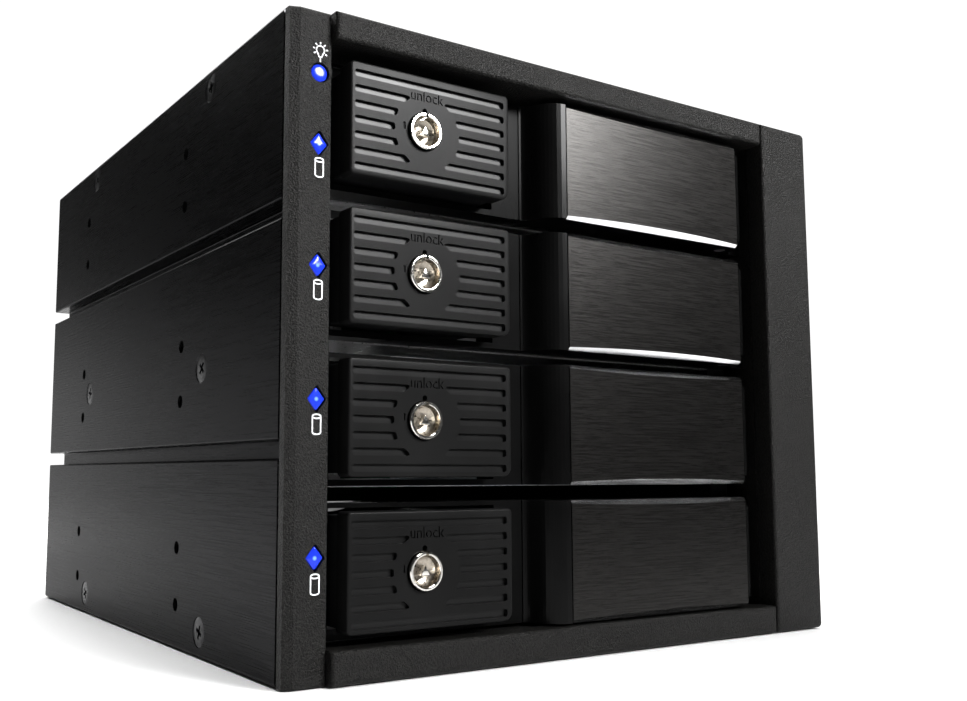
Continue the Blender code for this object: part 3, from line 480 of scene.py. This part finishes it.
def slot_meshes(low_x, high_x):
    """The cutting solids of all finger slots about the lock's axis."""
    meshes = []
    for row in range(-LAST_ROW, LAST_ROW + 1):
        z = row * SLOT_PITCH
        left, right = low_x + SLOT_MARGINS[0], high_x - SLOT_MARGINS[1]
        if abs(row) == LAST_ROW:
            outlines = [slot_outline(left, right, z, (False, False))]
        else:
            outlines = [slot_outline(left, 0, z, (False, True)), slot_outline(0, right, z, (True, False))]
        meshes += [prism(outline, -1.0, SLOT_DEPTH) for outline in outlines]
    return meshes


def word_mesh(text, width, height, depth):
    """A word in Blender's own plain font, upright and centred, as a cutting solid."""
    curve = bpy.data.curves.new("word", "FONT")
    curve.body = text
    curve.align_x = "CENTER"
    curve.align_y = "CENTER"
    curve.extrude = 1.0
    curve.resolution_u = 3
    holder = bpy.data.objects.new("word", curve)
    bpy.context.scene.collection.objects.link(holder)
    graph = bpy.context.evaluated_depsgraph_get()
    mesh = bpy.data.meshes.new_from_object(holder.evaluated_get(graph))
    bpy.data.objects.remove(holder)
    bm = bmesh.new()
    bm.from_mesh(mesh)
    bmesh.ops.remove_doubles(bm, verts=bm.verts, dist=1e-5)
    low = Vector([min(v.co[i] for v in bm.verts) for i in range(3)])
    high = Vector([max(v.co[i] for v in bm.verts) for i in range(3)])
    middle = (low + high) / 2
    scale = Vector((width / (high.x - low.x), height / (high.y - low.y), depth))
    for vertex in bm.verts:
        offset = vertex.co - middle
        vertex.co = (offset.x * scale.x, -offset.z * scale.z, offset.y * scale.y)
    return to_mesh(bm)


def button_mesh(low, high):
    """The button cap about the lock's axis, with Y = 0 on its front face; low and high are its box."""
    outline = rounded_rectangle((low.x, high.x), (low.z, high.z), CAP_CORNERS)
    cap = prism(outline, 0.0, CAP_DEPTH)
    cap = beveled(cap, lambda p: abs(p.y) < 1e-4, CAP_EDGE, 4)
    cap = combined(cap, gather(slot_meshes(low.x, high.x)), "DIFFERENCE")
    well = prism(circle((0, 0), WELL_RADIUS, 64), -1.0, 9.0)
    keyhole = prism(circle((0.1, KEYHOLE_HEIGHT), KEYHOLE_RADIUS, 24), -1.0, 1.6)
    neck = prism([(-0.25, 3.0), (0.45, 3.0), (0.45, KEYHOLE_HEIGHT), (-0.25, KEYHOLE_HEIGHT)], -1.0, 1.5)
    mark = prism([(-4.95, -0.1), (-4.35, -0.1), (-4.35, 1.35), (-4.95, 1.35)], -1.0, 0.3)
    for tool in (well, keyhole, neck, mark):
        cap = combined(cap, tool, "DIFFERENCE")
    word = word_mesh("unlock", 7.7, 2.2, 0.3)
    word.transform(Matrix.Translation((0.7, 0.0, 7.35)))
    cap = combined(cap, word, "DIFFERENCE")
    # slot floors get the painted shade of index 1
    cap = marked(cap, lambda middle, normal: is_slot_floor(middle, normal), 1)
    # floors of the engraved word and mark get the painted shade of index 2
    cap = marked(cap, lambda middle, normal: normal.y < -0.9 and 0.2 < middle.y < 0.35, 2)
    neck_outline = rounded_rectangle((low.x + NECK_INSET, high.x - NECK_INSET),
                                     (low.z + NECK_INSET, high.z - NECK_INSET), (0.4,) * 4)
    back = prism(neck_outline, CAP_DEPTH - 1.0, high.y)
    back = combined(back, prism(circle((0, 0), NECK_WELL_RADIUS, 48), -1.0, 20.0), "DIFFERENCE")
    back = marked(back, lambda middle, normal: True, 3)
    return combined(cap, back, "UNION")


def is_slot_floor(middle, normal):
    """Whether a face is the floor of a finger slot."""
    return normal.y < -0.9 and abs(middle.y - SLOT_DEPTH) < 0.05


def make_buttons():
    """Four button caps that share one mesh."""
    mesh = None
    for k in TRAYS:
        low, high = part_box(f"unlock_button_{k}")
        centre = Vector(JOINTS[f"lock_turn_{k}"]["pos_m"])
        centre.y = low.y
        if mesh is None:
            tab_reach = Vector((TAB_REACH * MM, 0, 0))
            mesh = button_mesh((low + tab_reach - centre) / MM, (high - tab_reach - centre) / MM)
        looks = ["button", "slot", "recess", "inner"]
        add_piece(f"button_cap_{k}", mesh, looks, centre, f"button_{k}", f"unlock_button_{k}")


# ---------------------------------------------------------------------------------------------------------
# Locks
# ---------------------------------------------------------------------------------------------------------

def lock_mesh():
    """The nickel lock about its axis, with Y = 0 on the button's front face."""
    profile = [(0.0, 1.75), (1.6, 1.75), (2.5, 1.45), (3.02, 0.9), (3.02, -0.85), (3.12, -0.97), (3.35, -1.0),
               (3.58, -0.97), (3.7, -0.8), (3.7, 8.4), (0.0, 8.4)]
    lock = turned(profile)
    # faces inside the cup get the painted shade and reflection of index 1
    lock = marked(lock, lambda middle, normal: middle.xz.length < 3.03 and -0.9 < middle.y < 2.0, 1)
    post = prism([(-1.0, -0.75), (1.0, -0.75), (0.0, 1.15)], -0.45, 2.6)
    post = beveled(post, lambda p: p.y < 0, 0.1, 2)
    lock = combined(lock, post, "UNION")
    gate = prism([(-0.25, 2.4), (0.45, 2.4), (0.45, 4.2), (-0.25, 4.2)], -2.0, 1.2)
    return combined(lock, gate, "DIFFERENCE")


def make_locks():
    """Four locks that share one mesh."""
    mesh = lock_mesh()
    looks = ["nickel", "cup"]
    for k in TRAYS:
        centre = Vector(JOINTS[f"lock_turn_{k}"]["pos_m"])
        centre.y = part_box(f"unlock_button_{k}")[0].y
        add_piece(f"lock_face_{k}", mesh, looks, centre, f"lock_{k}", f"lock_cylinder_{k}")


# ---------------------------------------------------------------------------------------------------------
# Lever plates
# ---------------------------------------------------------------------------------------------------------

def plate_mesh(width, height, thickness):
    """A plate that bows forward in the middle, with both long edges cut at 45 degrees."""
    stations = 32
    bow = 0.55
    cut_at_ends = 0.65
    bm = bmesh.new()
    rows = []
    for i in range(stations + 1):
        t = i / stations
        x = width * t
        forward = bow * (1 - (2 * t - 1) ** 2)
        cut = cut_at_ends + forward
        front = -forward
        row = [(x, thickness, 0.0), (x, front + cut, 0.0), (x, front, cut), (x, front, height - cut),
               (x, front + cut, height), (x, thickness, height)]
        rows.append([bm.verts.new(point) for point in row])
    for left, right in zip(rows, rows[1:]):
        for j in range(6):
            k = (j + 1) % 6
            face = bm.faces.new((left[j], left[k], right[k], right[j]))
            face.material_index = 1 if j in (1, 3) else 0
    bm.faces.new(rows[0])
    bm.faces.new(rows[-1])
    return to_mesh(bm)


def make_plates():
    """Four plates that share one mesh."""
    mesh = None
    looks = ["plate", "cut"]
    for k in TRAYS:
        low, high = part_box(f"lever_plate_{k}")
        size = (high - low) / MM
        if mesh is None:
            mesh = plate_mesh(size.x, size.z, size.y)
        add_piece(f"plate_{k}", mesh, looks, low, f"lever_arm_{k}", f"lever_plate_{k}")


# ---------------------------------------------------------------------------------------------------------
# Lights and printed signs
# ---------------------------------------------------------------------------------------------------------

def lens_mesh(outline, length):
    """A light pipe with a low dome at its front, about its own centre."""
    bm = bmesh.new()
    loops = []
    for inset, y in ((0.0, length), (0.0, 0.15), (0.12, 0.03), (0.35, -0.05), (0.65, -0.1)):
        loops.append([bm.verts.new((u * (1 - inset), y, v * (1 - inset))) for u, v in outline])
    tip = bm.verts.new((0, -0.12, 0))
    count = len(outline)
    for low, high in zip(loops, loops[1:]):
        for i in range(count):
            j = (i + 1) % count
            bm.faces.new((low[i], low[j], high[j], high[i]))
    for i in range(count):
        bm.faces.new((loops[-1][i], loops[-1][(i + 1) % count], tip))
    bm.faces.new(loops[0])
    return to_mesh(bm)


def make_lights():
    """The round power light and the four diamond drive lights."""
    names = ["power_light"] + [f"drive_light_{k}" for k in TRAYS]
    for name in names:
        low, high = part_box(name)
        size = (high - low) / MM
        if name == "power_light":
            outline = circle((0, 0), size.x / 2, 40)
        else:
            half = (size.x / 2 + 0.12, size.z / 2 + 0.12)
            outline = fillet([(-half[0], 0), (0, -half[1]), (half[0], 0), (0, half[1])], 0.35, 6)
        centre = Vector(((low.x + high.x) / 2, low.y, (low.z + high.z) / 2))
        add_piece(f"lens_{name}", lens_mesh(outline, size.y), ["light"], centre, "cage", name)


def stroke(points, width, closed=False):
    """A thin printed line along points in X and Z, as a closed strip."""
    return tube([(u, 0.0, v) for u, v in points], width / 2, closed, 6)


def drive_sign():
    """A small cylinder sign for a drive."""
    half, height, sag, line = 0.85, 2.9, 0.38, 0.26
    top = [(half * math.cos(a), height / 2 + sag * math.sin(a)) for a in [math.tau * i / 20 for i in range(20)]]
    side = [(-half, height / 2)]
    side += [(half * math.cos(a), -height / 2 + sag * math.sin(a)) for a in
             [math.pi + math.pi * i / 12 for i in range(13)]]
    side.append((half, height / 2))
    return gather([stroke(top, line, True), stroke(side, line)])


def lamp_sign():
    """A small lamp with rays, the sign for power."""
    line = 0.24
    bulb = arc((0, 0.35), 0.85, -50, 230, 18)
    neck = [bulb[-1], (-0.28, -1.0), (0.28, -1.0), bulb[0]]
    parts = [stroke(bulb, line), stroke(neck, line), stroke([(0, -1.15), (0, -2.0)], line)]
    for angle in range(-30, 211, 40):
        ray = [(reach * math.cos(math.radians(angle)), 0.35 + reach * math.sin(math.radians(angle)))
               for reach in (1.15, 1.6)]
        parts.append(stroke(ray, line))
    return gather(parts)


def make_signs():
    """Printed signs on the light pillar: a lamp over the power light, a drive under each drive light."""
    face_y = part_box("power_light")[0].y - 0.28 * MM
    flat = Matrix.Diagonal((1.0, 0.12, 1.0, 1.0))
    drive = drive_sign()
    lamp = lamp_sign()
    for mesh in (drive, lamp):
        mesh.transform(flat)
    low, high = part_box("power_light")
    place = Vector(((low.x + high.x) / 2, face_y, (low.z + high.z) / 2 + 4.0 * MM))
    add_piece("lamp_sign", lamp, ["print"], place, "cage")
    for k in TRAYS:
        low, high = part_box(f"drive_light_{k}")
        place = Vector(((low.x + high.x) / 2, face_y, (low.z + high.z) / 2 - 4.65 * MM))
        add_piece(f"drive_sign_{k}", drive, ["print"], place, "cage")


# ---------------------------------------------------------------------------------------------------------
# Screws
# ---------------------------------------------------------------------------------------------------------

def cross_recess(reach, width, depth):
    """A tapered cross for cutting a screw's drive."""
    arms = []
    for turn in (0, 90):
        bm = bmesh.new()
        bottom = [(-reach * 0.45, depth, -width * 0.3), (reach * 0.45, depth, -width * 0.3),
                  (reach * 0.45, depth, width * 0.3), (-reach * 0.45, depth, width * 0.3)]
        top = [(-reach, -0.5, -width / 2), (reach, -0.5, -width / 2),
               (reach, -0.5, width / 2), (-reach, -0.5, width / 2)]
        low = [bm.verts.new(point) for point in bottom]
        high = [bm.verts.new(point) for point in top]
        bm.faces.new(low)
        bm.faces.new(high)
        for i in range(4):
            j = (i + 1) % 4
            bm.faces.new((low[i], low[j], high[j], high[i]))
        arm = to_mesh(bm)
        arm.transform(Matrix.Rotation(math.radians(turn), 4, "Y"))
        arms.append(arm)
    return combined(arms[0], arms[1], "UNION")


def countersunk_screw(radius, length):
    """A flat-head screw with a cross recess, its head flush with Y = 0 and its shank along +Y."""
    shank = radius * 0.46
    profile = [(0.0, 0.0), (radius - 0.25, 0.0), (radius, 0.08), (radius, 0.3), (shank, radius * 0.62 + 0.2),
               (shank, length), (0.0, length)]
    return combined(turned(profile, 48), cross_recess(radius * 0.55, radius * 0.26, 1.2), "DIFFERENCE")


def pan_screw(radius, length):
    """A domed screw with a cross recess, standing on Y = 0 with its shank along +Y."""
    dome = [(radius * math.cos(math.radians(a)), -radius * 0.55 * math.sin(math.radians(a)))
            for a in range(75, -1, -15)]
    profile = [(0.0, -radius * 0.55)] + dome + [(radius * 0.5, 0.0), (radius * 0.5, length), (0.0, length)]
    screw = turned(profile, 40)
    recess = cross_recess(radius * 0.55, radius * 0.26, 0.8)
    recess.transform(Matrix.Translation((0, -radius * 0.55, 0)))
    return combined(screw, recess, "DIFFERENCE")


SIDE_SCREWS = ((42.9, 5.1), (128.9, 5.1), (44.6, 60.4), (130.4, 60.4), (42.6, 122.0), (129.9, 122.0))
SIDE_SCREW_TURNS = (20, 65, 40, 10, 75, 50)
FAN_HOLE_REACH = 35.75


def make_screws():
    """Countersunk screws on both side panels and pan heads at the fan's corners."""
    side = countersunk_screw(3.3, 4.2)
    front_y = cad_box[0][1] / MM
    sides = (("left", "side_panel_left", -90, -1), ("right", "side_panel_right", 90, 1))
    for label, panel, turn, sign in sides:
        low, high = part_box(panel)
        face_x = low.x if sign < 0 else high.x
        for i, ((depth, z), spin) in enumerate(zip(SIDE_SCREWS, SIDE_SCREW_TURNS), 1):
            place = Vector((face_x - sign * 0.12 * MM, (front_y + depth) * MM, z * MM))
            piece = add_piece(f"side_screw_{label}_{i}", side, ["screw"], place, "cage")
            piece.rotation_euler = Matrix.Rotation(math.radians(turn), 4, "Z").to_euler()
            piece.rotation_euler.rotate_axis("Y", math.radians(spin))
    rear = pan_screw(2.8, 6.0)
    low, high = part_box("fan_frame")
    centre = (low + high) / 2
    guard_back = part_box("fan_guard")[1].y
    for i, (u, v) in enumerate(((-1, -1), (1, -1), (1, 1), (-1, 1)), 1):
        place = Vector((centre.x + u * FAN_HOLE_REACH * MM, guard_back, centre.z + v * FAN_HOLE_REACH * MM))
        piece = add_piece(f"fan_screw_{i}", rear, ["screw"], place, "cage")
        piece.rotation_euler = (0, 0, math.pi)


# ---------------------------------------------------------------------------------------------------------
# Fan guard
# ---------------------------------------------------------------------------------------------------------

GUARD_RINGS = (7.0, 14.5, 22.0, 29.5, 37.0)
GUARD_WIRE = 0.9
GUARD_BAR_REACH = 33.9
GUARD_EYE_RADIUS = 2.6
GUARD_EYE_OFFSET = 1.8


def ring_points(radius, y, count=72):
    """Points once around a ring that faces Y."""
    return [(u, y, v) for u, v in circle((0, 0), radius, count)]


def guard_mesh(reach, depth):
    """A wire finger guard about the fan's axis: round rings welded on two bars with eyes for the screws."""
    meshes = [tube(ring_points(radius, depth - GUARD_WIRE), GUARD_WIRE, True) for radius in GUARD_RINGS]
    for u, v in ((1, 1), (1, -1)):
        ends = [(-u * reach, GUARD_WIRE, -v * reach), (u * reach, GUARD_WIRE, v * reach)]
        meshes.append(tube(ends, GUARD_WIRE))
    for u, v in ((-1, -1), (1, -1), (1, 1), (-1, 1)):
        eye = tube(ring_points(GUARD_EYE_RADIUS, GUARD_WIRE, 32), GUARD_WIRE, True)
        corner = reach + GUARD_EYE_OFFSET
        eye.transform(Matrix.Translation((u * corner, 0.0, v * corner)))
        meshes.append(eye)
    return gather(meshes)


def make_guard():
    """The wire guard in place of the flat one."""
    low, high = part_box("fan_guard")
    place = Vector(((low.x + high.x) / 2, low.y, (low.z + high.z) / 2))
    mesh = guard_mesh(GUARD_BAR_REACH, (high.y - low.y) / MM)
    add_piece("fan_wire_guard", mesh, ["chrome"], place, "cage", "fan_guard")


# ---------------------------------------------------------------------------------------------------------
# Stage
# ---------------------------------------------------------------------------------------------------------

def floor_material():
    """Matte floor paper: pale around the object, with painted shade that darkens its colour far in front, and
    self-lit far behind.
    """
    shader = Shader("studio_paper", (0.9, 0.9, 0.9), 0.85)
    split = shader.tree.nodes.new("ShaderNodeSeparateXYZ")
    shader.tree.links.new(shader.coordinates, split.inputs[0])
    depth = split.outputs["Y"]
    tooth = shader.blend(shader.noise(900.0), (0.89, 0.89, 0.89), (0.91, 0.91, 0.91))
    # painted shade: the paper's colour falls to 0.10 far in front of the object
    painted_front_shade = shader.tree.nodes.new("ShaderNodeMix")
    painted_front_shade.data_type = "RGBA"
    painted_front_shade.inputs["A"].default_value = (0.10, 0.10, 0.10, 1.0)
    shader.tree.links.new(shader.ramp(depth, 0.0, 1.0, -0.60, -0.12), painted_front_shade.inputs["Factor"])
    shader.tree.links.new(tooth, painted_front_shade.inputs["B"])
    shader.link(painted_front_shade.outputs["Result"], "Base Color")
    shader.set("Emission Color", (1.0, 1.0, 1.0, 1.0))
    away = shader.tree.nodes.new("ShaderNodeVectorMath")
    away.operation = "DOT_PRODUCT"
    away.inputs[1].default_value = (0.544, 0.839, 0.0)
    shader.tree.links.new(shader.coordinates, away.inputs[0])
    shader.link(shader.ramp(away.outputs["Value"], 0.0, 1.0, 0.30, 0.75), "Emission Strength")
    shader.set("Specular IOR Level", 0.1)
    return shader.material


def make_stage():
    """A wide pale floor."""
    bm = bmesh.new()
    bm.faces.new([bm.verts.new((u * 6.0, v * 6.0, 0.0)) for u, v in ((-1, -1), (1, -1), (1, 1), (-1, 1))])
    mesh = bpy.data.meshes.new("studio_floor")
    bm.to_mesh(mesh)
    bm.free()
    mesh.materials.append(floor_material())
    floor = bpy.data.objects.new("studio_floor", mesh)
    bpy.context.scene.collection.objects.link(floor)
    floor.location.z = -0.0003


def area_light(name, place, target, size, energy, spread):
    """A rectangular soft light aimed at a point."""
    data = bpy.data.lights.new(name, "AREA")
    data.shape = "RECTANGLE"
    data.size, data.size_y = size
    data.energy = energy
    data.spread = math.radians(spread)
    lamp = bpy.data.objects.new(name, data)
    bpy.context.scene.collection.objects.link(lamp)
    lamp.location = place
    lamp.rotation_euler = (Vector(target) - Vector(place)).to_track_quat("-Z", "Y").to_euler()


WORLD_DIM = 0.04
WORLD_WASH = 1.10
WORLD_GLOW = 1.2


def horizon_glow(tree, direction):
    """A low band of light behind on the left, which the side panel mirrors."""
    across = tree.nodes.new("ShaderNodeVectorMath")
    across.operation = "DOT_PRODUCT"
    across.inputs[1].default_value = (-0.46, 0.888, 0.0)
    split = tree.nodes.new("ShaderNodeSeparateXYZ")
    tree.links.new(direction, across.inputs[0])
    tree.links.new(direction, split.inputs[0])
    parts = []
    limits = ((across.outputs["Value"], 0.80, 0.97, 0.0, WORLD_GLOW),
              (split.outputs["Z"], 0.03, 0.20, 1.0, 0.0))
    for value, start, end, low, high in limits:
        node = tree.nodes.new("ShaderNodeMapRange")
        node.interpolation_type = "SMOOTHSTEP"
        node.inputs["From Min"].default_value = start
        node.inputs["From Max"].default_value = end
        node.inputs["To Min"].default_value = low
        node.inputs["To Max"].default_value = high
        tree.links.new(value, node.inputs["Value"])
        parts.append(node.outputs["Result"])
    product = tree.nodes.new("ShaderNodeMath")
    product.operation = "MULTIPLY"
    tree.links.new(parts[0], product.inputs[0])
    tree.links.new(parts[1], product.inputs[1])
    return product.outputs["Value"]


def make_world():
    """A dim grey surround with a broad white wash behind the object, as seen from the front left."""
    world = bpy.data.worlds.new("studio")
    world.use_nodes = True
    tree = world.node_tree
    direction = tree.nodes.new("ShaderNodeTexCoord").outputs["Generated"]
    facing = tree.nodes.new("ShaderNodeVectorMath")
    facing.operation = "DOT_PRODUCT"
    facing.inputs[1].default_value = (0.544, 0.821, 0.174)
    tree.links.new(direction, facing.inputs[0])
    wash = tree.nodes.new("ShaderNodeMapRange")
    wash.interpolation_type = "SMOOTHSTEP"
    wash.inputs["From Min"].default_value = 0.74
    wash.inputs["From Max"].default_value = 0.85
    wash.inputs["To Min"].default_value = WORLD_DIM
    wash.inputs["To Max"].default_value = WORLD_WASH
    tree.links.new(facing.outputs["Value"], wash.inputs["Value"])
    total = tree.nodes.new("ShaderNodeMath")
    total.operation = "ADD"
    tree.links.new(wash.outputs["Result"], total.inputs[0])
    tree.links.new(horizon_glow(tree, direction), total.inputs[1])
    tree.links.new(total.outputs["Value"], tree.nodes["Background"].inputs["Strength"])
    tree.nodes["Background"].inputs["Color"].default_value = (1.0, 1.0, 1.0, 1.0)
    bpy.context.scene.world = world


def make_lighting():
    """A lamp overhead, one behind for the far floor and the rear, and a narrow soft box at the front right."""
    make_world()
    area_light("over_box", (0.00, 0.05, 1.4), (-0.08, 0.02, 0), (0.8, 0.8), 5.0, 70)
    area_light("rear_box", (0.10, 1.10, 1.00), (0.0, 0.10, 0.05), (0.8, 0.8), 6.0, 120)
    area_light("front_box", (0.22, -0.50, 0.42), (0.02, -0.10, 0.21), (0.45, 0.35), 1.45, 32)


CAMERA_PLACE = (-0.15491, -0.26963, 0.03799)
CAMERA_YAW = 32.924
CAMERA_PITCH = 6.038
CAMERA_LENS = 39.167
CAMERA_SHIFT = (0.0615, 0.0118)


def make_camera():
    """A close camera in front of the left corner, a little above the lowest tray."""
    data = bpy.data.cameras.new("camera")
    data.lens = CAMERA_LENS
    data.sensor_width = 36.0
    data.shift_x, data.shift_y = CAMERA_SHIFT
    data.clip_start = 0.01
    camera = bpy.data.objects.new("camera", data)
    bpy.context.scene.collection.objects.link(camera)
    camera.location = CAMERA_PLACE
    camera.rotation_euler = (math.radians(90 + CAMERA_PITCH), 0.0, math.radians(-CAMERA_YAW))
    bpy.context.scene.camera = camera


dress_nodes()
make_buttons()
make_locks()
make_plates()
make_lights()
make_signs()
make_screws()
make_guard()
make_stage()
make_lighting()
make_camera()
bpy.context.scene.view_settings.view_transform = "Standard"
